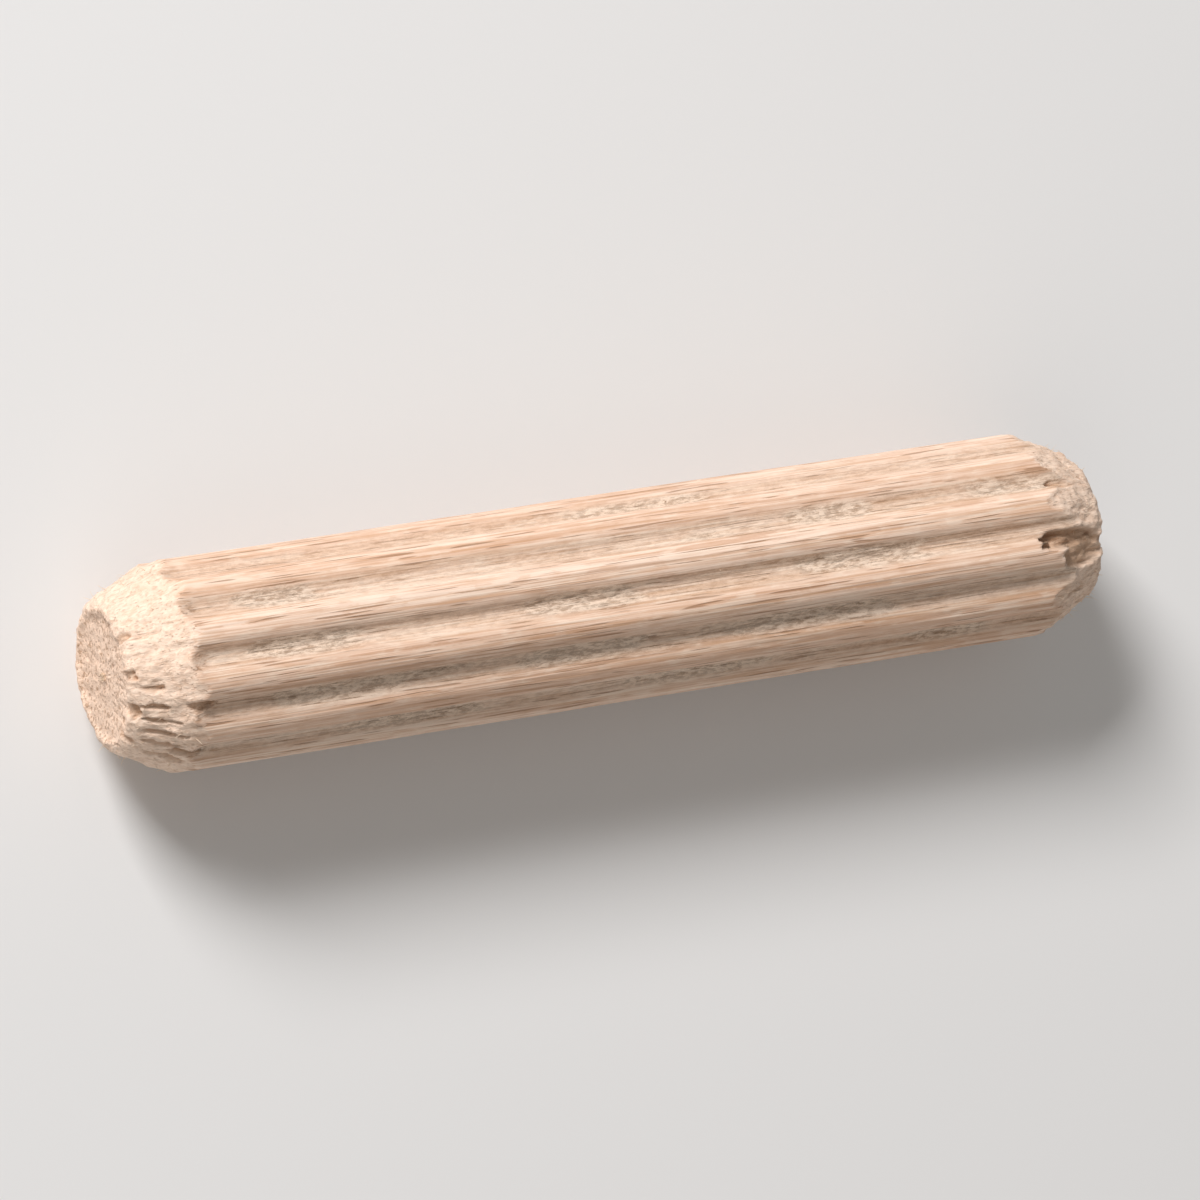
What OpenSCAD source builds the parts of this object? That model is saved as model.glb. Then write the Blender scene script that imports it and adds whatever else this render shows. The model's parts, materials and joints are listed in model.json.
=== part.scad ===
// Fluted wooden dowel pin, lying on its side along X with its centre at the origin.
// The section is a wave of round ribs and round flutes. It runs the whole length and
// is trimmed by a turned envelope with a blunt, round-shouldered nose at each end.
// A flute faces straight down, so the pin lies on the two ribs beside it.

/* [Pin] */
// Length over both end faces
pin_length = 40; // [25:0.5:60]
// Diameter over the crests of the ribs
pin_diameter = 8; // [6:0.1:12]

/* [Flutes] */
// Number of flutes around the pin, even so that a flute faces down and another up
flute_count = 12; // [8:2:16]
// Depth of a flute below the crests
flute_depth = 0.42; // [0.25:0.01:0.6]
// Radius of the round bottom of a flute
flute_radius = 0.45; // [0.25:0.01:0.6]

/* [Noses] */
// Diameter at which the slope of a nose would meet its end face
nose_diameter = 5.5; // [4.2:0.1:5.6]
// Length of the slope of a nose, before it is rounded off
nose_length = 2.6; // [1.2:0.1:3]
// Radius of the round shoulder between the ribs and the slope
shoulder_radius = 3; // [0.5:0.1:3.6]
// Radius of the round edge between the slope and the end face
edge_radius = 0.7; // [0.1:0.05:0.9]

/* [Hidden] */
// Facets of a preview circle
$fn = 96;
// Two arcs, or an arc and a line, meet in a faint arris with this angle
arris_angle = 5;
// The turned envelope clears the crests of the ribs by this much
crest_room = 0.02;

pin_r = pin_diameter / 2;
nose_r = nose_diameter / 2;
envelope_r = pin_r + crest_room;
half_length = pin_length / 2;
shoulder_at = half_length - nose_length;

// Angle between the axis and the slope of a nose
slope_angle = atan((envelope_r - nose_r) / nose_length);
// Direction of the slope, from the shoulder to the end face
slope = [-sin(slope_angle), cos(slope_angle)];

// Half of the angle from one flute to the next
half_pitch = 180 / flute_count;
// Distance from the axis to the centre of a flute's round bottom
flute_centre = pin_r - flute_depth + flute_radius;
// Height and distance across from a flute's centre to the crest of the rib beside it
crest_height = pin_r - flute_centre * cos(half_pitch);
crest_across = flute_centre * sin(half_pitch);
// Radius of a rib that runs into the flutes beside it with only the faint arris
rib_radius = (pow(crest_height, 2) + pow(crest_across, 2) - pow(flute_radius, 2))
             / (2 * (flute_radius * cos(arris_angle) + crest_height));
// Distance from the axis to the centre of a rib's round crest
rib_centre = pin_r - rib_radius;

// A point at a distance from the axis, at an angle around it
function around(distance, angle) = [distance * cos(angle), distance * sin(angle)];

// Ribs and flutes as arcs. The star under them joins their centres, so that each of
// its edges crosses the outline where a rib runs into a flute.
module ribbed_section() {
    difference() {
        union() {
            polygon([
                for (i = [0 : 2 * flute_count - 1])
                    around(i % 2 == 0 ? flute_centre : rib_centre, i * half_pitch)
            ]);
            for (i = [0 : flute_count - 1])
                translate(around(rib_centre, (2 * i + 1) * half_pitch))
                    circle(r = rib_radius);
        }
        for (i = [0 : flute_count - 1])
            translate(around(flute_centre, 2 * i * half_pitch))
                circle(r = flute_radius);
    }
}

// What rounding takes off a convex corner of an outline. From the corner, the unit
// vectors back and on follow the outline's two edges.
module corner_waste(corner, back, on, radius) {
    inward = (back + on) / norm(back + on);
    half_corner = acos(back * inward);
    half_arc = 90 - half_corner - arris_angle;
    reach = radius * sin(half_arc) / sin(half_corner);
    centre = corner + inward * (reach * cos(half_corner) + radius * cos(half_arc));
    // The waste starts inside the arc, a little before the arc leaves either edge
    start = reach + radius * sin(arris_angle) / 2;
    difference() {
        polygon([
            corner - inward * radius,
            corner + back * start,
            centre,
            corner + on * start
        ]);
        translate(centre)
            circle(r = radius);
    }
}

// Outline of one half of the envelope: X is the distance from the axis and Y runs
// from the middle of the pin to its end face
module half_outline() {
    difference() {
        polygon([
            [0, 0],
            [envelope_r, 0],
            [envelope_r, shoulder_at],
            [nose_r, half_length],
            [0, half_length]
        ]);
        corner_waste([envelope_r, shoulder_at], [0, -1], slope, shoulder_radius);
        corner_waste([nose_r, half_length], -slope, [-1, 0], edge_radius);
    }
}

// Turned envelope along Z, with both noses
module envelope() {
    rotate_extrude() {
        half_outline();
        mirror([0, 1]) half_outline();
    }
}

module dowel_pin() {
    color("burlywood")
        rotate([0, 90, 0])
            intersection() {
                envelope();
                translate([0, 0, -half_length])
                    linear_extrude(height = pin_length) ribbed_section();
            }
}

dowel_pin();
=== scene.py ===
import itertools
import json
import math

import bpy
import numpy as np
from mathutils import Matrix, Vector


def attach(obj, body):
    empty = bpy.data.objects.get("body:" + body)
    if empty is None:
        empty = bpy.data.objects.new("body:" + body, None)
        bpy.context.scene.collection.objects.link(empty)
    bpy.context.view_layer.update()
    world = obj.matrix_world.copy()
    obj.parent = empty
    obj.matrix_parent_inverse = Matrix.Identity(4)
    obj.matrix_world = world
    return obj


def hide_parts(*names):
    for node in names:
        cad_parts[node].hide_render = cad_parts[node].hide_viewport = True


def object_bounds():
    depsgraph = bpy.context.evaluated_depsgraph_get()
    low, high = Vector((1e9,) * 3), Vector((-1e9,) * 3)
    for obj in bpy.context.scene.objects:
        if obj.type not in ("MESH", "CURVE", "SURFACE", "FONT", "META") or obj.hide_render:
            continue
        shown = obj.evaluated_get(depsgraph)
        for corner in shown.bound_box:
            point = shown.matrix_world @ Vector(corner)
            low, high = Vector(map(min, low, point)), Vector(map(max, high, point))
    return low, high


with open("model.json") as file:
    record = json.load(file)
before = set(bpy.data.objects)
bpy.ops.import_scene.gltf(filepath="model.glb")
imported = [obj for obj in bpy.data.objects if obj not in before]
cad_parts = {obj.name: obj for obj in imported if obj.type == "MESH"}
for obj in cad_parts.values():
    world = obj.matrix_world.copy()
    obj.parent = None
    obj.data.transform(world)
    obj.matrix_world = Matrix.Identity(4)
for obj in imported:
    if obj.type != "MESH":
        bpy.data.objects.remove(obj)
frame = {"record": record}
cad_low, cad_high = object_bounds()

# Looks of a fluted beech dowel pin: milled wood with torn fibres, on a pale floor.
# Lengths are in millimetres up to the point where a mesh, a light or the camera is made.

MM = 0.001

# Form of the pin, as its solid has it
mount_dims = {mount["name"]: mount["dims"] for mount in frame["record"]["mounts"]}
HALF_LENGTH = cad_high.x / MM
PIN_R = mount_dims["left_shank"]["r_mm"]
FLUTES = 12
FLUTE_DEPTH = 0.42
FLUTE_R = 0.45
NOSE_R = 2.75
NOSE_LENGTH = 2.6
SHOULDER_R = 3.0
EDGE_R = 0.7
ARRIS = math.radians(5)
CREST_ROOM = 0.02

ENVELOPE_R = PIN_R + CREST_ROOM
SHOULDER_AT = HALF_LENGTH - NOSE_LENGTH
HALF_PITCH = math.pi / FLUTES
FLUTE_CENTRE = PIN_R - FLUTE_DEPTH + FLUTE_R
CREST_HEIGHT = PIN_R - FLUTE_CENTRE * math.cos(HALF_PITCH)
CREST_ACROSS = FLUTE_CENTRE * math.sin(HALF_PITCH)
RIB_R = ((CREST_HEIGHT ** 2 + CREST_ACROSS ** 2 - FLUTE_R ** 2)
         / (2 * (FLUTE_R * math.cos(ARRIS) + CREST_HEIGHT)))
RIB_CENTRE = PIN_R - RIB_R

# How far the solid reaches from its middle, which nothing on the pin goes past
BOX = np.array([*cad_high]) / MM

# Steps of the wood's mesh, per flute and in millimetres along the outline. The body has
# finer steps next to a nose, for the length NEAR_BODY.
STEPS_PER_FLUTE = 26
FACE_STEP = 0.12
NOSE_STEP = 0.06
NEAR_BODY = 1.6
NEAR_BODY_STEP = 0.1
BODY_STEP = 0.26
LEAST_ARC_STEPS = 4

# How full of fuzz the left ends of the flutes are, and from where to where it thickens
CLOGGED = 0.75
CLOGGED_FROM = (HALF_LENGTH - 3.1, HALF_LENGTH - 1.9)

# Frayed rims of the end faces: radius and width. Inside them a face lies deeper by the
# dish, which has a soft and ragged edge.
RIM_R = 2.5
RIM_WIDTH = 0.1
DISH = 0.13
DISH_EDGE = 0.3
DISH_RAGGED = 0.12

# The line where a nose meets the ribs: how far it wavers, and how far it reaches
NOSE_LINE_WAVER = 0.07
NOSE_LINE_REACH = 0.6

# Depth under the ribs at which wood counts as cut by a nose and as lying in a flute
CUT_DEPTH = 0.12
FLUTE_FROM = (0.06, 0.34)

# Noises of the worked surface: size of their cells along X, Y and Z, and seed
NOISES = {
    "drawn": ((9.0, 0.3, 0.3), 1),
    "fibres": ((3.5, 0.13, 0.13), 2),
    "pores": ((1.6, 0.11, 0.11), 3),
    "patches": ((3.0, 0.8, 0.8), 4),
    "rough": ((0.55, 0.11, 0.11), 5),
    "fuzz": ((0.42, 0.12, 0.12), 6),
    "lumps": ((1.3, 0.42, 0.42), 7),
    "pits": ((0.5, 0.15, 0.15), 8),
    "waver": ((11.0, 1.3, 1.3), 9),
    "crushed": ((1.6, 0.12, 0.12), 10),
    "sawn": ((0.5, 0.3, 0.8), 12),
    "tear_edge": ((0.9, 0.18, 0.18), 31),
    "fine_edge": ((0.3, 0.2, 0.2), 32),
    "splinters": ((2.4, 0.16, 0.16), 33),
    "patch_edge": ((1.5, 0.4, 0.4), 35),
}
NOSE_LINE_NOISE = ((0.8, 0.2, 0.2), 11)
NOISE_TABLE = 4096

# Noises of which only high values count, with the values between which they rise
NOISE_LIMITS = {"pores": (0.45, 0.75), "pits": (0.2, 0.7), "patches": (0.2, 0.8)}

# Depth of each kind of surface: an even part, and the share of each noise
RELIEF = {
    "side": (0.03, {"drawn": 0.015, "fibres": 0.015, "pores": 0.024, "waver": 0.022}),
    "fuzzy": (0.03, {"rough": 0.07}),
    "nose": (0.015, {"fuzz": 0.028, "lumps": 0.032}),
    "face": (0.05, {"fuzz": 0.025, "pits": 0.04, "sawn": 0.045}),
}
CRUSHED_DEPTH = 0.014

# How torn fuzz and noses are, how torn a tear is for each millimetre of its depth, and
# the depth at which its painted shade is full
FUZZ_TORN = 0.75
NOSE_TORN = 0.75
TEAR_TORN = 2.5
TEAR_SHADE_DEPTH = 0.25

# Torn places: distance from the middle, angle from the top towards the camera's side
# in degrees, length, width and depth
TEARS = (
    (18.1, 7.5, 3.0, 0.85, 0.6),
    (18.9, 18, 2.7, 1.7, 0.3),
    (18.2, -28, 1.3, 0.42, 0.22),
    (18.5, 45, 0.9, 0.35, 0.14),
    (-17.5, 26, 1.3, 0.5, 0.25),
    (-17.9, 61, 1.5, 0.4, 0.35),
    (-19.3, 14, 1.1, 0.3, 0.2),
    (-19.2, 27, 1.4, 0.28, 0.24),
    (-19.0, 37, 1.5, 0.24, 0.24),
    (-18.9, 46, 1.6, 0.26, 0.26),
    (-18.8, 56, 1.5, 0.28, 0.24),
    (-18.5, 69, 1.4, 0.3, 0.2),
    (-19.0, -22, 0.9, 0.2, 0.1),
    (-19.95, -27, 0.8, 0.5, 0.2),
    (-19.95, 4, 0.7, 0.6, 0.22),
    (-19.95, 33, 0.9, 0.9, 0.26),
    (-19.95, 62, 0.8, 0.6, 0.2),
    (-8.4, 28, 1.1, 0.13, 0.14),
    (3.1, 58, 1.4, 0.12, 0.12),
    (9.7, 1, 1.2, 0.12, 0.1),
    (-2.2, -31, 1.3, 0.13, 0.1),
    (18.2, 76, 1.2, 0.3, 0.25),
    (18.0, 140, 1.3, 0.3, 0.25),
    (-18.1, 160, 1.2, 0.3, 0.22),
    (-18.2, -110, 1.1, 0.3, 0.22),
    (6.5, 150, 1.3, 0.14, 0.12),
    (-11.3, -92, 1.0, 0.13, 0.12),
)

# Edges of the torn places: how ragged they are, coarse and fine, the width from which a
# tear is less ragged, and how softly its sides fall
TEAR_RAGGED = 0.6
FINE_RAGGED = 0.2
RAGGED_WIDTH = 0.75
TEAR_SOFT = 0.45

# Depth of the torn places: how much less it is towards the nearer end, how much splinters
# change it, the share of the given depth that is left halfway, and how far inside the rim
# of an end face a tear has faded out
TEAR_RUN_OUT = 0.45
TEAR_SPLINTERS = 0.28
TEAR_SHARE = 0.8
TEAR_FADE = 0.4

# Lengths of flute that are torn to fuzz: distance from the middle, angle and length
FUZZY_FLUTES = (
    (-2.0, 0, 5.5),
    (-13.0, 0, 5.0),
    (9.5, 0, 6.0),
    (-12.0, 30, 6.5),
    (-2.5, 30, 6.0),
    (7.0, 30, 8.0),
    (-9.0, 60, 6.0),
    (2.5, 60, 6.5),
    (-14.0, -30, 3.5),
    (8.5, -30, 4.0),
    (13.0, 60, 4.5),
    (-6.0, 120, 5.0),
    (5.0, 180, 4.0),
    (-10.0, -120, 5.0),
)

# Half of the width of the fuzz in a flute, and how ragged and how soft its edge is
FUZZY_HALF_WIDTH = 0.55
FUZZY_RAGGED = 0.5
FUZZY_SOFT = 0.5

# Loose fibres: how many are tried, how many stand in torn flutes and on end faces for
# one on a nose, and their form
FIBRE_COUNT = 1500
FIBRE_SEED = 77
FIBRES_IN_FLUTES = 0.3
FIBRES_ON_FACES = 0.15
FIBRE_LENGTH = (0.12, 0.42)
FIBRE_THICK = (0.008, 0.018)
FIBRE_LEAN = 0.35
FIBRE_RISE = (0.2, 0.9)
FIBRE_BEND = 0.25
FIBRE_ROOT = 0.03
FIBRE_PLACES = (0.0, 0.4, 0.75, 1.0)
FIBRE_TAPER = 0.25
FIBRE_SIDES = 3

# The unwrapped side takes this share of the square, and each disc half of the rest
STRIP_SHARE = 0.76
DISC_SPACE = (1 - STRIP_SHARE) / 2
DISC_FILL = 0.9


def solid_noise(points, cell, seed):
    """Smooth random values from -1 to 1 in space, with cells of the given size."""
    rng = np.random.default_rng(seed)
    shuffle = rng.permutation(NOISE_TABLE)
    values = rng.uniform(-1, 1, NOISE_TABLE)
    place = points / np.asarray(cell)
    base = np.floor(place).astype(int)
    part = place - base
    part = part * part * (3 - 2 * part)
    total = np.zeros(points.shape[:-1])
    for corner in itertools.product((0, 1), repeat=3):
        index = np.zeros(points.shape[:-1], int)
        weight = np.ones(points.shape[:-1])
        for axis, step in enumerate(corner):
            index = shuffle[(index + base[..., axis] + step) % NOISE_TABLE]
            weight = weight * (part[..., axis] if step else 1 - part[..., axis])
        total += values[index] * weight
    return total


def ramp(value, low, high):
    """0 below low, 1 above high and a smooth rise between them."""
    part = np.clip((value - low) / (high - low), 0, 1)
    return part * part * (3 - 2 * part)


def surface_noise(points, name):
    """A named noise: from 0 to 1 where it has limits, otherwise from -1 to 1."""
    values = solid_noise(points, *NOISES[name])
    return ramp(values, *NOISE_LIMITS[name]) if name in NOISE_LIMITS else values


def section_radius(angle):
    """Distance from the axis to the wave of ribs and flutes, at angles from straight down.
    A star joins the centres of their arcs. Ribs are added to it and flutes cut from it."""
    from_flute = np.abs((angle + HALF_PITCH) % (2 * HALF_PITCH) - HALF_PITCH)
    from_rib = HALF_PITCH - from_flute
    star = FLUTE_CENTRE * RIB_CENTRE * math.sin(HALF_PITCH) / (
        FLUTE_CENTRE * np.sin(from_flute) + RIB_CENTRE * np.sin(from_rib))
    rib_room = RIB_R ** 2 - (RIB_CENTRE * np.sin(from_rib)) ** 2
    rib = RIB_CENTRE * np.cos(from_rib) + np.sqrt(np.maximum(rib_room, 0))
    ribbed = np.where(rib_room > 0, np.maximum(star, rib), star)
    flute_room = FLUTE_R ** 2 - (FLUTE_CENTRE * np.sin(from_flute)) ** 2
    flute = FLUTE_CENTRE * np.cos(from_flute) - np.sqrt(np.maximum(flute_room, 0))
    return np.where(flute_room > 0, np.minimum(ribbed, flute), ribbed)


def corner_arc(corner, back, on, radius):
    """Points and outward normals of the arc that rounds a corner between two edges."""
    corner, back, on = (np.array(v, float) for v in (corner, back, on))
    inward = (back + on) / np.linalg.norm(back + on)
    half_corner = math.acos(back @ inward)
    half_arc = math.pi / 2 - half_corner - ARRIS
    reach = radius * math.sin(half_arc) / math.sin(half_corner)
    centre = corner + inward * (reach * math.cos(half_corner) + radius * math.cos(half_arc))
    steps = max(LEAST_ARC_STEPS, math.ceil(2 * half_arc * radius / NOSE_STEP))
    across = (on - back) / np.linalg.norm(on - back)
    turns = np.linspace(-half_arc, half_arc, steps + 1)
    normals = np.array([-inward * math.cos(t) + across * math.sin(t) for t in turns])
    return centre + radius * normals, normals


def stretch(start, end, normal, step):
    """Points between two ends, without the ends, that share one normal."""
    start, end = np.array(start, float), np.array(end, float)
    count = max(1, round(np.linalg.norm(end - start) / step))
    points = [start + (end - start) * i / count for i in range(1, count)]
    return np.array(points).reshape(-1, 2), np.tile(normal, (len(points), 1))


def half_outline():
    """Outline of one half from the middle of the end face to the middle of the pin, as
    (along the axis, from the axis), with its normals."""
    slope_angle = math.atan((ENVELOPE_R - NOSE_R) / NOSE_LENGTH)
    slope = np.array([-math.cos(slope_angle), math.sin(slope_angle)])
    slope_normal = np.array([math.sin(slope_angle), math.cos(slope_angle)])
    edge, edge_normals = corner_arc((HALF_LENGTH, NOSE_R), (0, -1), slope, EDGE_R)
    shoulder, shoulder_normals = corner_arc(
        (SHOULDER_AT, ENVELOPE_R), -slope, (-1, 0), SHOULDER_R)
    near_end = np.array([shoulder[-1][0] - NEAR_BODY, ENVELOPE_R])
    face = stretch((HALF_LENGTH, 0), edge[0], (1, 0), FACE_STEP)
    nose = stretch(edge[-1], shoulder[0], slope_normal, NOSE_STEP)
    near = stretch(shoulder[-1], near_end, (0, 1), NEAR_BODY_STEP)
    body = stretch(near_end, (0, ENVELOPE_R), (0, 1), BODY_STEP)
    points = np.vstack([face[0], edge, nose[0], shoulder, near[0], near_end, body[0]])
    normals = np.vstack([face[1], edge_normals, nose[1], shoulder_normals, near[1],
                         (0, 1), body[1]])
    return points, normals


def whole_outline():
    """Outline from the right end face to the left one, with its normals."""
    points, normals = half_outline()
    flip = np.array([-1, 1])
    return (np.vstack([points, [[0, ENVELOPE_R]], points[::-1] * flip]),
            np.vstack([normals, [[0, 1]], normals[::-1] * flip]))


def around_axis(along, radius, angle):
    """Points at distances from the axis, at angles from straight down."""
    return np.stack([along + 0 * angle, radius * np.sin(angle), -radius * np.cos(angle)], -1)


def from_axis(points):
    """Distance of points from the pin's axis."""
    return np.hypot(points[..., 1], points[..., 2])


def away(angle, turn):
    """Distance around the pin from an angle given in degrees from the top."""
    return ((angle - math.radians(turn)) % (2 * math.pi) - math.pi) * PIN_R


def tear_depth(points, angle, noise):
    """Depth of the torn places. Their edges are ragged, they run out towards the nearer
    end, and they stop at the rim of the end face."""
    ragged = TEAR_RAGGED * noise["tear_edge"] + FINE_RAGGED * noise["fine_edge"]
    splinters = TEAR_SPLINTERS * noise["splinters"]
    depth = np.zeros(points.shape[:-1])
    for along, turn, length, width, deep in TEARS:
        forth = (points[..., 0] - along) / length * 2
        across = away(angle, turn) / width * 2
        edge = ragged * min(1, RAGGED_WIDTH / width)
        inside = ramp(1 - forth ** 2 - across ** 2 + edge, 0, TEAR_SOFT)
        run_out = 1 - TEAR_RUN_OUT * np.clip(forth * math.copysign(1, along), -1, 1)
        depth = np.maximum(depth, deep * inside * (run_out + splinters) * TEAR_SHARE)
    return depth * ramp(from_axis(points), RIM_R - TEAR_FADE, RIM_R)


def fuzzy_flutes(points, angle, noise):
    """Where a flute is torn to fuzz, from 0 to 1."""
    ragged = FUZZY_RAGGED * noise["patch_edge"]
    amount = noise["patches"]
    for along, turn, length in FUZZY_FLUTES:
        forth = (points[..., 0] - along) / length * 2
        across = away(angle, turn) / FUZZY_HALF_WIDTH
        inside = ramp(1 - forth ** 2 - across ** 4 + ragged, 0, FUZZY_SOFT)
        amount = np.maximum(amount, inside)
    return amount


def relief(noise, kind):
    """Depth of one kind of surface."""
    even, shares = RELIEF[kind]
    return sum((share * noise[name] for name, share in shares.items()), even)


def wood_relief(points, angle, flute, nose, face):
    """How far the worked surface lies under the plain form, how torn it is, and the part
    of its depth that is tears."""
    noise = {name: surface_noise(points, name) for name in NOISES}
    patches = fuzzy_flutes(points, angle, noise) * flute
    tears = tear_depth(points, angle, noise)
    crushed = noise["crushed"] * flute
    dished = ramp(RIM_R - from_axis(points) + DISH_RAGGED * noise["lumps"], 0.0, DISH_EDGE)
    depth = (1 - face) * relief(noise, "side")
    depth += CRUSHED_DEPTH * crushed + patches * relief(noise, "fuzzy")
    depth += nose * relief(noise, "nose")
    depth += face * relief(noise, "face") + DISH * dished
    torn = np.clip(FUZZ_TORN * patches + NOSE_TORN * nose + TEAR_TORN * tears, 0, 1)
    return np.maximum(depth, 0) + tears, torn, tears


def nose_line(along, plain):
    """How far in or out the ragged line lies where a nose meets the ribs."""
    on_nose = ramp(np.abs(along), SHOULDER_AT - NOSE_LINE_REACH, SHOULDER_AT)
    return NOSE_LINE_WAVER * solid_noise(plain, *NOSE_LINE_NOISE) * on_nose


def wood_grid():
    """Surface points of the pin ring by ring, with the outward direction and the marks
    of each."""
    outline, normals = whole_outline()
    steps = FLUTES * STEPS_PER_FLUTE
    angle = np.tile(np.arange(steps) * 2 * math.pi / steps, (len(outline), 1))
    along, limit = outline[:, :1], outline[:, 1:]
    section = section_radius(angle)
    plain = around_axis(along, np.minimum(section, limit), angle)

    # The ribs end in a ragged line, and fuzz clogs the left ends of the flutes
    on_face = ramp(RIM_R + RIM_WIDTH - limit, 0.0, RIM_WIDTH)
    ragged = nose_line(along, plain) * (1 - on_face)
    section = section + (PIN_R - section) * (CLOGGED * ramp(-along, *CLOGGED_FROM))
    radius = np.minimum(section, limit + ragged)
    points = around_axis(along, radius, angle)

    cut = ramp(section - radius, 0.0, CUT_DEPTH)
    flute = ramp(PIN_R - section, *FLUTE_FROM) * (1 - cut)
    nose = cut * (1 - on_face)
    face = np.broadcast_to(on_face, angle.shape)
    depth, torn, tears = wood_relief(points, angle, flute, nose, face)
    outward = around_axis(normals[:, :1], normals[:, 1:], angle)
    points = np.clip(points - outward * depth[..., None], -BOX, BOX)
    # The last mark is the painted shade of the tears, by their depth
    return points, outward, {"flute": flute, "torn": torn, "nose": nose, "face": face,
                             "gash": np.clip(tears / TEAR_SHADE_DEPTH, 0, 1)}


def end_tips(grid):
    """The middle points of both end faces."""
    tips = grid[[0, -1]].mean(1)
    tips[:, 1:] = 0
    return tips


def ring_faces(rings, around):
    """Quads between neighbouring rings, and the fans that close both end faces."""
    ring, step = np.meshgrid(np.arange(rings - 1), np.arange(around), indexing="ij")
    after = (step + 1) % around
    quads = np.stack([ring * around + step, (ring + 1) * around + step,
                      (ring + 1) * around + after, ring * around + after], -1)
    first, last = rings * around, rings * around + 1
    start = (rings - 1) * around
    fans = [(first, i, (i + 1) % around) for i in range(around)]
    fans += [(last, start + (i + 1) % around, start + i) for i in range(around)]
    return quads.reshape(-1, 4).tolist() + fans


def disc_place(points):
    """Where points of the end faces lie on the discs above the strip."""
    left = points[..., 0] < 0
    middle = np.where(left, DISC_SPACE, 3 * DISC_SPACE)
    scale = DISC_FILL * DISC_SPACE / NOSE_R
    return np.stack([middle + points[..., 1] * scale,
                     1 - DISC_SPACE + points[..., 2] * scale], -1)


def quad_places(grid, on_face):
    """Where the corners of the quads lie: the end faces on the discs, the rest on the
    strip."""
    rings, around = grid.shape[:2]
    lengths = np.linalg.norm(np.diff(grid[:, 0], axis=0), axis=1)
    across = np.concatenate([[0], np.cumsum(lengths)]) / lengths.sum()
    ring, step = np.meshgrid(np.arange(rings - 1), np.arange(around), indexing="ij")
    strip = []
    disc = []
    for more_ring, more_step in ((0, 0), (1, 0), (1, 1), (0, 1)):
        at_ring, at_step = ring + more_ring, step + more_step
        strip.append(np.stack([across[at_ring], STRIP_SHARE * at_step / around], -1))
        disc.append(disc_place(grid[at_ring, at_step % around]))
    flat = (on_face[ring, 0] > 0.5) & (on_face[ring + 1, 0] > 0.5)
    return np.where(flat[..., None, None], np.stack(disc, 2), np.stack(strip, 2))


def fan_places(grid):
    """Where the corners of the fans in the middle of the end faces lie."""
    around = grid.shape[1]
    corners = []
    for end, tip, first, second in zip((0, -1), end_tips(grid), (0, 1), (1, 0)):
        for i in range(around):
            corners.append((tip, grid[end, (i + first) % around],
                            grid[end, (i + second) % around]))
    return disc_place(np.array(corners))


def unwrap(piece, grid, on_face):
    """Lays the pin's side out as a strip and its end faces as two discs."""
    places = np.concatenate([quad_places(grid, on_face).reshape(-1, 2),
                             fan_places(grid).reshape(-1, 2)])
    layer = piece.data.uv_layers.new(name="OFBake")
    layer.data.foreach_set("uv", places.astype(np.float32).ravel())


def mesh_object(name, points, faces):
    """A smooth mesh object from points in millimetres."""
    mesh = bpy.data.meshes.new(name)
    mesh.from_pydata((np.asarray(points) * MM).tolist(), [], faces)
    mesh.polygons.foreach_set("use_smooth", [True] * len(mesh.polygons))
    mesh.update()
    piece = bpy.data.objects.new(name, mesh)
    bpy.context.scene.collection.objects.link(piece)
    return piece


def set_marks(piece, marks):
    """Stores per-vertex marks that the material reads."""
    for name, values in marks.items():
        layer = piece.data.attributes.new(name, "FLOAT", "POINT")
        layer.data.foreach_set("value", np.asarray(values, np.float32).ravel())


def build_wood():
    """The pin's worked surface as one closed mesh. Its two tips lie on the end faces."""
    points, outward, marks = wood_grid()
    piece = mesh_object("beech_pin", np.vstack([points.reshape(-1, 3), end_tips(points)]),
                        ring_faces(*points.shape[:2]))
    set_marks(piece, {name: np.append(values.ravel(), [name == "face"] * 2)
                      for name, values in marks.items()})
    unwrap(piece, points, marks["face"])
    return piece, points, outward, marks


def fibre_roots(rng, points, outward, marks):
    """Where loose fibres stand and which way is out there, by the area of each step."""
    weight = (marks["nose"] + FIBRES_IN_FLUTES * marks["torn"] * marks["flute"]
              + FIBRES_ON_FACES * marks["face"])
    spread = np.linalg.norm(np.roll(points, -1, 0) - points, axis=-1)
    weight = (weight * spread).ravel()
    roots = rng.choice(weight.size, FIBRE_COUNT, p=weight / weight.sum())
    return zip(points.reshape(-1, 3)[roots], outward.reshape(-1, 3)[roots])


def draw_fibre(rng, root, normal):
    """Spine of a fibre that leans along the grain, and its half thickness along two
    directions across it."""
    length = rng.uniform(*FIBRE_LENGTH)
    thick = rng.uniform(*FIBRE_THICK)
    lean = np.array([rng.choice((-1, 1)), *rng.normal(0, FIBRE_LEAN, 2)])
    heading = lean + normal * rng.uniform(*FIBRE_RISE)
    heading /= np.linalg.norm(heading)
    bend = rng.normal(0, FIBRE_BEND, 3)
    side = np.cross(heading, rng.normal(0, 1, 3))
    side /= np.linalg.norm(side)
    spine = [root - normal * FIBRE_ROOT + (heading * t + bend * t * t) * length
             for t in FIBRE_PLACES]
    return spine, thick, side, np.cross(heading, side)


def fibre_corners(spine, thick, side, other):
    """Corners of a fibre, ring by ring, and its tip."""
    corners = []
    for at, middle in enumerate(spine[:-1]):
        size = thick * (1 - FIBRE_TAPER * at)
        for turn in range(FIBRE_SIDES):
            a = 2 * math.pi * turn / FIBRE_SIDES
            corners.append(middle + size * (side * math.cos(a) + other * math.sin(a)))
    return corners + [spine[-1]]


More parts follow.
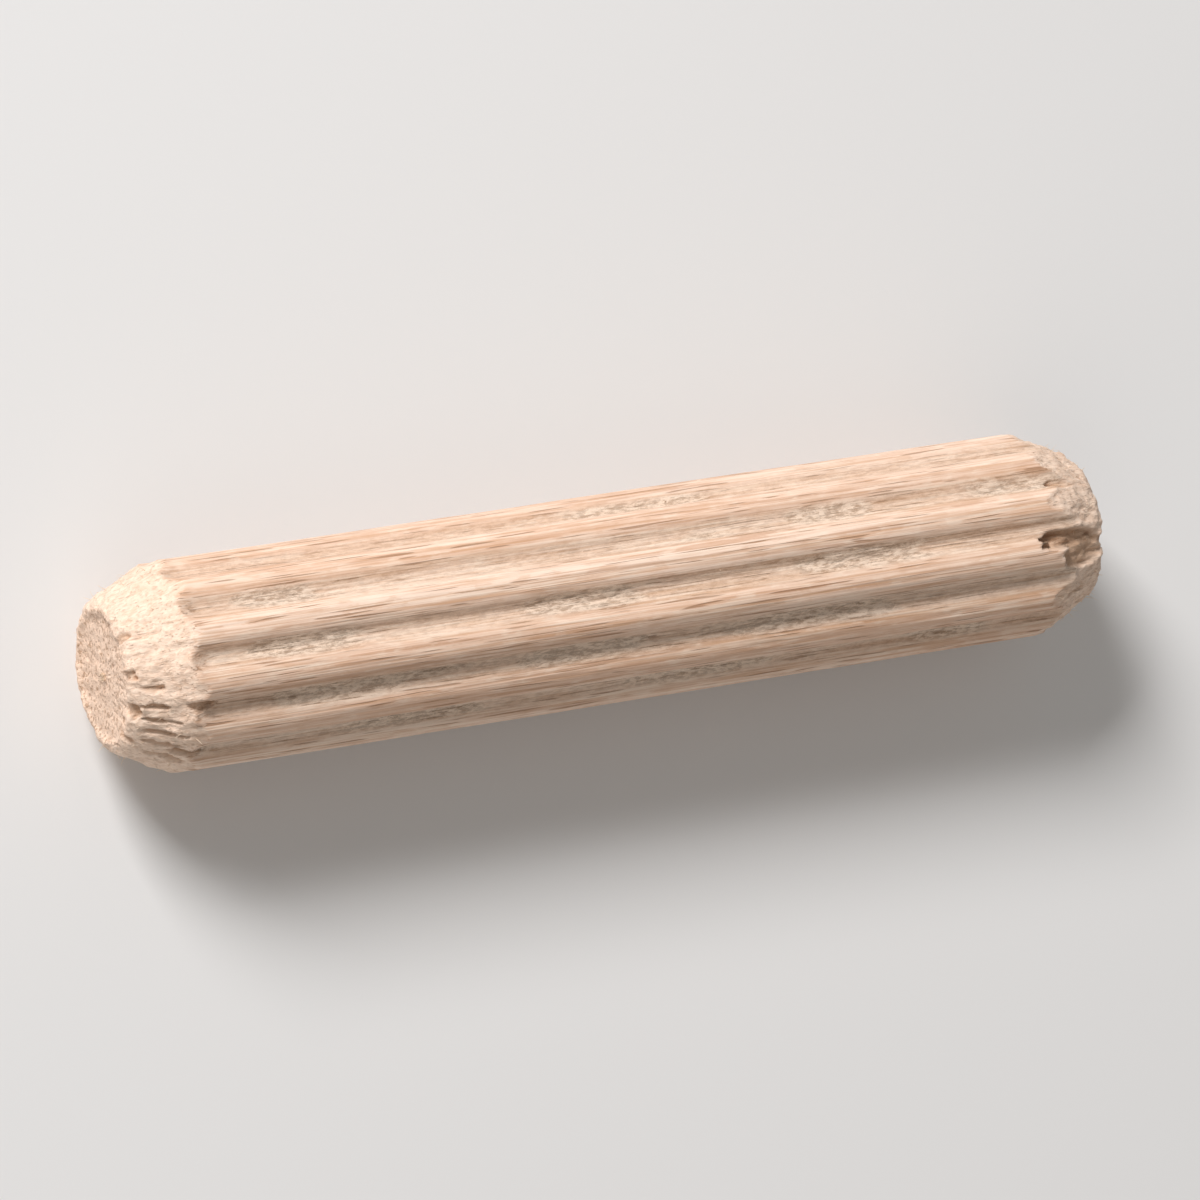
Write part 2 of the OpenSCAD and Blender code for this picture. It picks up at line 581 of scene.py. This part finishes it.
def fibre_faces(start):
    """Root, sides and tip of a fibre whose corners begin at start."""
    tip = start + FIBRE_SIDES * (len(FIBRE_PLACES) - 1)
    last = tip - FIBRE_SIDES
    pairs = [(turn, (turn + 1) % FIBRE_SIDES) for turn in range(FIBRE_SIDES)]
    faces = [tuple(start + turn for turn in reversed(range(FIBRE_SIDES)))]
    for ring in range(start, last, FIBRE_SIDES):
        above = ring + FIBRE_SIDES
        faces += [(ring + a, ring + b, above + b, above + a) for a, b in pairs]
    return faces + [(last + a, last + b, tip) for a, b in pairs]


def build_fibres(points, outward, marks):
    """Loose fibres that stand up from the noses and the torn parts of the flutes, apart
    from those that would leave the pin's box."""
    rng = np.random.default_rng(FIBRE_SEED)
    corners, faces = [], []
    for root, normal in fibre_roots(rng, points, outward, marks):
        spine, thick, side, other = draw_fibre(rng, root, normal)
        if (np.abs(spine) > BOX).any():
            continue
        faces += fibre_faces(len(corners))
        corners += fibre_corners(spine, thick, side, other)
    return mesh_object("torn_fibres", np.clip(corners, -BOX, BOX), faces)


class Shader:
    """Adds nodes to one material and links them."""

    def __init__(self, name):
        self.material = bpy.data.materials.new(name)
        self.material.use_nodes = True
        self.tree = self.material.node_tree
        self.surface = self.tree.nodes["Principled BSDF"]
        place = self.node("ShaderNodeTexCoord").outputs["Object"]
        scaled = self.node("ShaderNodeVectorMath", operation="SCALE")
        self.feed(scaled.inputs[0], place)
        scaled.inputs["Scale"].default_value = 1 / MM
        self.place = scaled.outputs[0]

    def node(self, kind, **settings):
        """A new node with its settings."""
        made = self.tree.nodes.new(kind)
        for name, value in settings.items():
            setattr(made, name, value)
        return made

    def feed(self, socket, value):
        """Links an output to a socket, or sets the socket to a plain value."""
        if isinstance(value, bpy.types.NodeSocket):
            self.tree.links.new(value, socket)
        else:
            socket.default_value = value

    def math(self, operation, first, second):
        """Result of one operation on two values."""
        made = self.node("ShaderNodeMath", operation=operation)
        self.feed(made.inputs[0], first)
        self.feed(made.inputs[1], second)
        return made.outputs[0]

    def noise(self, along, across, detail, rough, bend):
        """Noise with so many cells a millimetre along and across the grain."""
        stretched = self.node("ShaderNodeVectorMath", operation="MULTIPLY")
        self.feed(stretched.inputs[0], self.place)
        stretched.inputs[1].default_value = (along, across, across)
        made = self.node("ShaderNodeTexNoise")
        self.feed(made.inputs["Vector"], stretched.outputs[0])
        for name, value in (("Scale", 1.0), ("Detail", detail), ("Roughness", rough),
                            ("Distortion", bend)):
            made.inputs[name].default_value = value
        return made.outputs["Fac"]

    def ramp(self, value, low, high, start=0.0, end=1.0):
        """Goes from start to end while value goes from low to high."""
        made = self.node("ShaderNodeMapRange", interpolation_type="SMOOTHSTEP")
        for name, given in (("Value", value), ("From Min", low), ("From Max", high),
                            ("To Min", start), ("To Max", end)):
            self.feed(made.inputs[name], given)
        return made.outputs[0]

    def mix(self, factor, first, second):
        """Colour that goes from first to second."""
        made = self.node("ShaderNodeMix", data_type="RGBA")
        self.feed(made.inputs[0], factor)
        self.feed(made.inputs[6], first)
        self.feed(made.inputs[7], second)
        return made.outputs[2]

    def mark(self, name):
        """A mark that the mesh stores for each vertex."""
        return self.node("ShaderNodeAttribute", attribute_name=name).outputs["Fac"]


def colour(red, green, blue):
    """Linear colour from screen values up to 255."""
    linear = [((v / 255 + 0.055) / 1.055) ** 2.4 for v in (red, green, blue)]
    return (*linear, 1.0)


CREAM = colour(243, 217, 198)
PEACH = colour(231, 195, 170)
TAN = colour(208, 165, 132)
STREAK = colour(186, 138, 104)
FLECK = colour(160, 116, 84)
# Grey of the painted shade laid into the flutes, and the pale fuzz specked into it
FLUTE_SHADE_GREY = colour(160, 142, 124)
HOLLOW_FUZZ = colour(222, 204, 184)
PALE_FIBRE = colour(246, 225, 206)
END_GRAIN = colour(249, 219, 196)
PORE = colour(168, 131, 100)
# Brown of the painted shade laid into the tears
TEAR_SHADE = colour(190, 152, 120)
FIBRE = colour(240, 218, 194)
FLOOR = colour(228, 228, 228)

# Noises of the wood's colour: cells a millimetre along and across the grain, detail,
# roughness and bend
GRAIN = {
    "bands": (0.02, 0.55, 3.0, 0.5, 0.4),
    "streaks": (0.045, 3.4, 4.0, 0.65, 0.0),
    "fibres": (0.22, 15.0, 2.0, 0.6, 0.0),
    "threads": (0.16, 5.5, 1.0, 0.5, 0.0),
    "mottle": (1.0, 3.2, 3.0, 0.6, 0.0),
    "flecks": (0.5, 13.0, 0.0, 0.5, 0.0),
    "speckle": (2.4, 8.5, 4.0, 0.75, 0.0),
    "pores": (3.0, 7.5, 1.0, 0.6, 0.0),
}

# Layers of colour on the cream wood: a noise, two values of it, how much of the colour
# there is at each of the two, and the colour
LAYERS = (
    ("bands", 0.35, 0.68, 0.0, 1.0, PEACH),
    ("streaks", 0.48, 0.72, 0.0, 0.85, TAN),
    ("streaks", 0.33, 0.42, 0.35, 0.0, STREAK),
    ("threads", 0.54, 0.68, 0.0, 0.6, PALE_FIBRE),
    ("threads", 0.3, 0.45, 0.55, 0.0, STREAK),
    ("mottle", 0.5, 0.68, 0.0, 0.5, PALE_FIBRE),
    ("mottle", 0.34, 0.46, 0.35, 0.0, TAN),
    ("fibres", 0.3, 0.55, 0.7, 0.0, TAN),
    ("fibres", 0.55, 0.7, 0.0, 0.45, PALE_FIBRE),
    ("flecks", 0.66, 0.76, 0.0, 0.7, FLECK),
)

# Colours of worn and cut wood, and of the painted shade in flutes and tears: the share of a
# colour, or two values of a noise or mark that it changes between and then its share at each
# of the two
# The next two give the painted shade in the flutes: its speckle against pale fuzz, and its
# share, which grows where a flute is torn
FLUTE_SHADE_SPECKLE = (0.4, 0.58)
FLUTE_SHADE_SHARE = (0.0, 0.7, 0.36, 0.62)
FRAYED_SPECKLE = (0.44, 0.62, 0.0, 0.65)
PALE_NOSE = 0.35
NOSE_END_GRAIN = 0.35
PORE_SPOTS = (0.5, 0.64, 0.0, 0.8)
END_SHOWS = 0.75
# Share of the painted shade in the tears
TEAR_SHADE_SHOWS = 0.7

# Gloss and roughness, and the heights of the fine bumps
WOOD_GLOSS = 0.3
PLAIN_GLOSS = 0.25
WOOD_ROUGHNESS = (0.3, 0.7, 0.5, 0.62)
TORN_ROUGHNESS = 0.25
FIBRE_HEIGHT = 0.8
STREAK_HEIGHT = 0.6
FLECK_DEPTH = (0.68, 0.78, 0.0, 0.5)
SPECKLE_HEIGHT = 1.6
BUMP_DISTANCE = 0.035
BUMP_STRENGTH = 0.9


def sound_wood(s, grain):
    """Colour of milled beech: growth bands, streaks, fibres and short ray flecks."""
    tone = CREAM
    for name, low, high, start, end, tint in LAYERS:
        tone = s.mix(s.ramp(grain[name], low, high, start, end), tone, tint)
    return tone


def worn_and_shaded_wood(s, grain, marks, tone):
    """Colour of frayed wood, noses and end grain over a tone, with painted shade in the
    flutes and the tears.
    """
    # Painted shade in every flute: a grey with pale fuzz specks, more of it where a flute is
    # torn
    crushed = s.mix(s.ramp(grain["speckle"], *FLUTE_SHADE_SPECKLE), FLUTE_SHADE_GREY, HOLLOW_FUZZ)
    flute_shade = s.math("MULTIPLY", marks["flute"], s.ramp(marks["torn"], *FLUTE_SHADE_SHARE))
    tone = s.mix(flute_shade, tone, crushed)
    frayed = s.math("MULTIPLY", marks["torn"], s.ramp(grain["speckle"], *FRAYED_SPECKLE))
    tone = s.mix(frayed, tone, PALE_FIBRE)
    tone = s.mix(s.math("MULTIPLY", marks["nose"], PALE_NOSE), tone, PALE_FIBRE)

    nose_end = s.math("MULTIPLY", marks["nose"], NOSE_END_GRAIN)
    ended = s.math("MAXIMUM", marks["face"], nose_end)
    grain_end = s.mix(s.ramp(grain["pores"], *PORE_SPOTS), END_GRAIN, PORE)
    tone = s.mix(s.math("MULTIPLY", ended, END_SHOWS), tone, grain_end)
    # Painted shade in the tears, fuller with their depth
    return s.mix(s.math("MULTIPLY", marks["gash"], TEAR_SHADE_SHOWS), tone, TEAR_SHADE)


def wood_roughness(s, grain, marks):
    """Roughness of the fibres, and more where the wood is torn."""
    torn = s.math("MULTIPLY", marks["torn"], TORN_ROUGHNESS)
    return s.math("ADD", s.ramp(grain["fibres"], *WOOD_ROUGHNESS), torn)


def wood_bumps(s, grain, marks):
    """Fine bumps: fibres and streaks, sunk flecks, and speckle on torn and cut wood."""
    height = s.math("ADD", s.math("MULTIPLY", grain["fibres"], FIBRE_HEIGHT),
                    s.math("MULTIPLY", grain["streaks"], STREAK_HEIGHT))
    height = s.math("SUBTRACT", height, s.ramp(grain["flecks"], *FLECK_DEPTH))
    speckled = s.math("MULTIPLY", s.math("MAXIMUM", marks["torn"], marks["face"]),
                      s.math("MULTIPLY", grain["speckle"], SPECKLE_HEIGHT))
    bump = s.node("ShaderNodeBump")
    s.feed(bump.inputs["Height"], s.math("ADD", height, speckled))
    bump.inputs["Distance"].default_value = BUMP_DISTANCE * MM
    bump.inputs["Strength"].default_value = BUMP_STRENGTH
    return bump.outputs[0]


def beech_material():
    """Milled beech with its worn and cut parts, and painted shade in its flutes and tears.
    """
    s = Shader("beech")
    marks = {name: s.mark(name) for name in ("flute", "torn", "nose", "face", "gash")}
    grain = {name: s.noise(*settings) for name, settings in GRAIN.items()}
    tone = worn_and_shaded_wood(s, grain, marks, sound_wood(s, grain))
    s.feed(s.surface.inputs["Base Color"], tone)
    s.feed(s.surface.inputs["Roughness"], wood_roughness(s, grain, marks))
    s.feed(s.surface.inputs["Specular IOR Level"], WOOD_GLOSS)
    s.feed(s.surface.inputs["Normal"], wood_bumps(s, grain, marks))
    return s.material


def plain_material(name, tint, roughness):
    """A material with one colour."""
    made = bpy.data.materials.new(name)
    made.use_nodes = True
    surface = made.node_tree.nodes["Principled BSDF"]
    surface.inputs["Base Color"].default_value = tint
    surface.inputs["Roughness"].default_value = roughness
    surface.inputs["Specular IOR Level"].default_value = PLAIN_GLOSS
    return made


# Where the camera stands: how far to the left of the pin's middle, as the sine of an
# angle, the turn around the pin's axis, how far away, and how much the pin rises in view
VIEW_SIDE = 0.40
VIEW_RISE = math.radians(89)
VIEW_DISTANCE = 280
PIN_RISES = math.radians(8.8)

# Share of the picture's width that the pin takes, and the camera's own sizes
PIN_SHARE = 0.82
SENSOR = 36
CLIP_START = 10

# Square lights: name, direction from the pin, distance, size, watts and colour
LIGHTS = (
    ("key", (-0.46, 0.71, 0.63), 500, 170, 2.7, (1.0, 0.985, 0.98)),
    ("fill", (-0.6, -0.6, 0.8), 600, 400, 0.42, (1.0, 0.93, 0.84)),
)
SKY = (1.0, 0.975, 0.95, 1.0)
SKY_STRENGTH = 0.26

FLOOR_HALF = 1500
FLOOR_ROUGHNESS = 0.8
FIBRE_ROUGHNESS = 0.7


def camera_axes():
    """Right, up and backward of the camera, so that the pin rises a little to the right."""
    across = math.sqrt(1 - VIEW_SIDE ** 2)
    back = Vector((-VIEW_SIDE, -across * math.cos(VIEW_RISE), across * math.sin(VIEW_RISE)))
    axis = Vector((1, 0, 0))
    level = (axis - axis.dot(back) * back).normalized()
    square = back.cross(level)
    right = level * math.cos(PIN_RISES) - square * math.sin(PIN_RISES)
    return right, back.cross(right), back


def build_camera():
    """A camera whose picture the pin fills to the given share of the width."""
    right, up, back = camera_axes()
    data = bpy.data.cameras.new("camera")
    camera = bpy.data.objects.new("camera", data)
    bpy.context.scene.collection.objects.link(camera)
    placed = Matrix((right, up, back)).transposed().to_4x4()
    placed.translation = back * VIEW_DISTANCE * MM
    camera.matrix_world = placed
    shown = 2 * HALF_LENGTH * math.sqrt(1 - VIEW_SIDE ** 2) / PIN_SHARE
    data.sensor_width = SENSOR
    data.lens = SENSOR * VIEW_DISTANCE / shown
    data.clip_start = CLIP_START * MM
    bpy.context.scene.camera = camera


def area_light(name, direction, distance, size, power, tint):
    """A square light that looks at the pin from a direction."""
    data = bpy.data.lights.new(name, "AREA")
    data.shape = "SQUARE"
    data.size = size * MM
    data.energy = power
    data.color = tint
    light = bpy.data.objects.new(name, data)
    bpy.context.scene.collection.objects.link(light)
    towards = Vector(direction).normalized()
    light.location = towards * distance * MM
    light.rotation_euler = towards.to_track_quat("Z", "Y").to_euler()


def build_floor():
    """A wide pale floor that the pin lies on."""
    corners = [(x * FLOOR_HALF, y * FLOOR_HALF, 0)
               for x, y in ((-1, -1), (1, -1), (1, 1), (-1, 1))]
    floor = mesh_object("floor", corners, [(0, 1, 2, 3)])
    floor.location.z = cad_low.z
    floor.data.materials.append(plain_material("studio_floor", FLOOR, FLOOR_ROUGHNESS))


def build_studio():
    """Floor, a key light from the top of the picture, and weak light all round."""
    build_floor()
    for light in LIGHTS:
        area_light(*light)
    world = bpy.data.worlds.new("studio")
    world.use_nodes = True
    background = world.node_tree.nodes["Background"]
    background.inputs["Color"].default_value = SKY
    background.inputs["Strength"].default_value = SKY_STRENGTH
    bpy.context.scene.world = world
    bpy.context.scene.view_settings.view_transform = "Standard"


def dress_pin():
    """Puts the worked wood in the place of the plain solid."""
    wood, points, outward, marks = build_wood()
    wood.data.materials.append(beech_material())
    fibres = build_fibres(points, outward, marks)
    fibres.data.materials.append(plain_material("beech_fibre", FIBRE, FIBRE_ROUGHNESS))
    for piece in (wood, fibres):
        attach(piece, "root")
    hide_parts("dowel_pin")


dress_pin()
build_camera()
build_studio()
